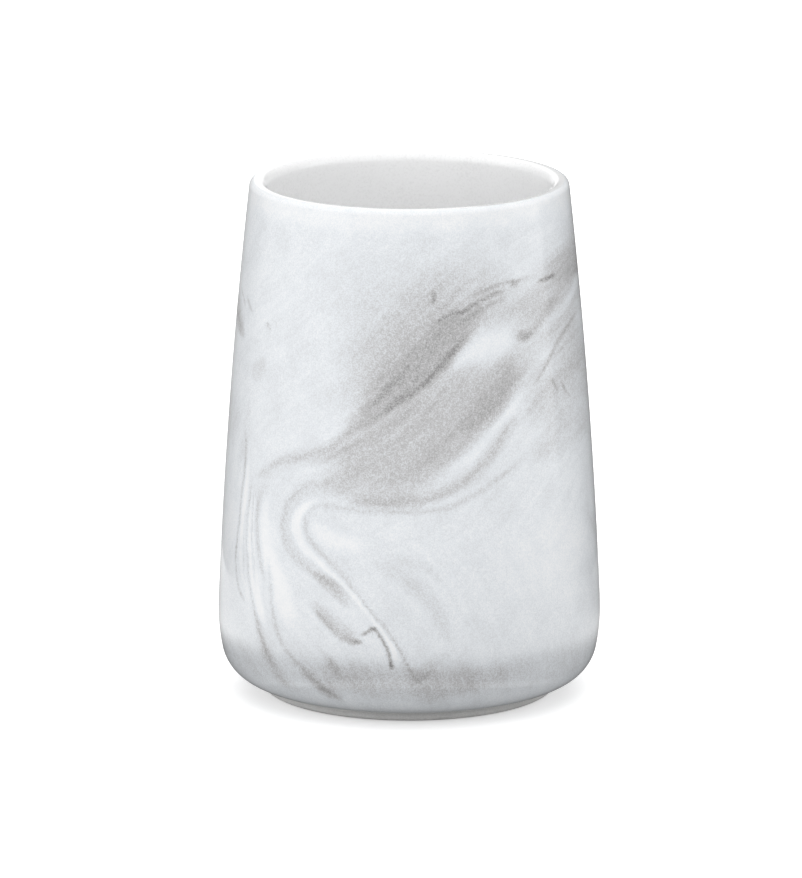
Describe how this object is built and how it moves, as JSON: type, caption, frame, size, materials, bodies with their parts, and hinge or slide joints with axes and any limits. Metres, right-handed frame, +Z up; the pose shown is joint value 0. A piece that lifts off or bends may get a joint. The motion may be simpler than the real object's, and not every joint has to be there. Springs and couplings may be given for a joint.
{
  "type": "bathroom tumbler",
  "caption": "Round ceramic bathroom tumbler with a wide belly, soft rim and bare foot ring, glazed outside with grey marble veining, for rinsing water or toothbrushes.",
  "frame": {"origin": "on the table plane under the middle of the base, where the anti-slip pads rest", "axes": "+Z up along the axis of the cup, out of the mouth; the side shown in the picture faces -Y"},
  "size_m": [0.0814, 0.0814, 0.1104],
  "materials": {
    "stoneware": "matte, unglazed where it shows at the foot ring",
    "marbled_glaze": "gloss, white with grey marble veining",
    "white_glaze": "gloss, plain white",
    "pad": "satin, translucent grey"
  },
  "bodies": {
    "root": {"stoneware_body": "stoneware", "outer_glaze": "marbled_glaze", "inner_glaze": "white_glaze", "base_glaze": "white_glaze", "anti_slip_pad_1": "pad", "anti_slip_pad_2": "pad", "anti_slip_pad_3": "pad", "anti_slip_pad_4": "pad"}
  },
  "joints": []
}
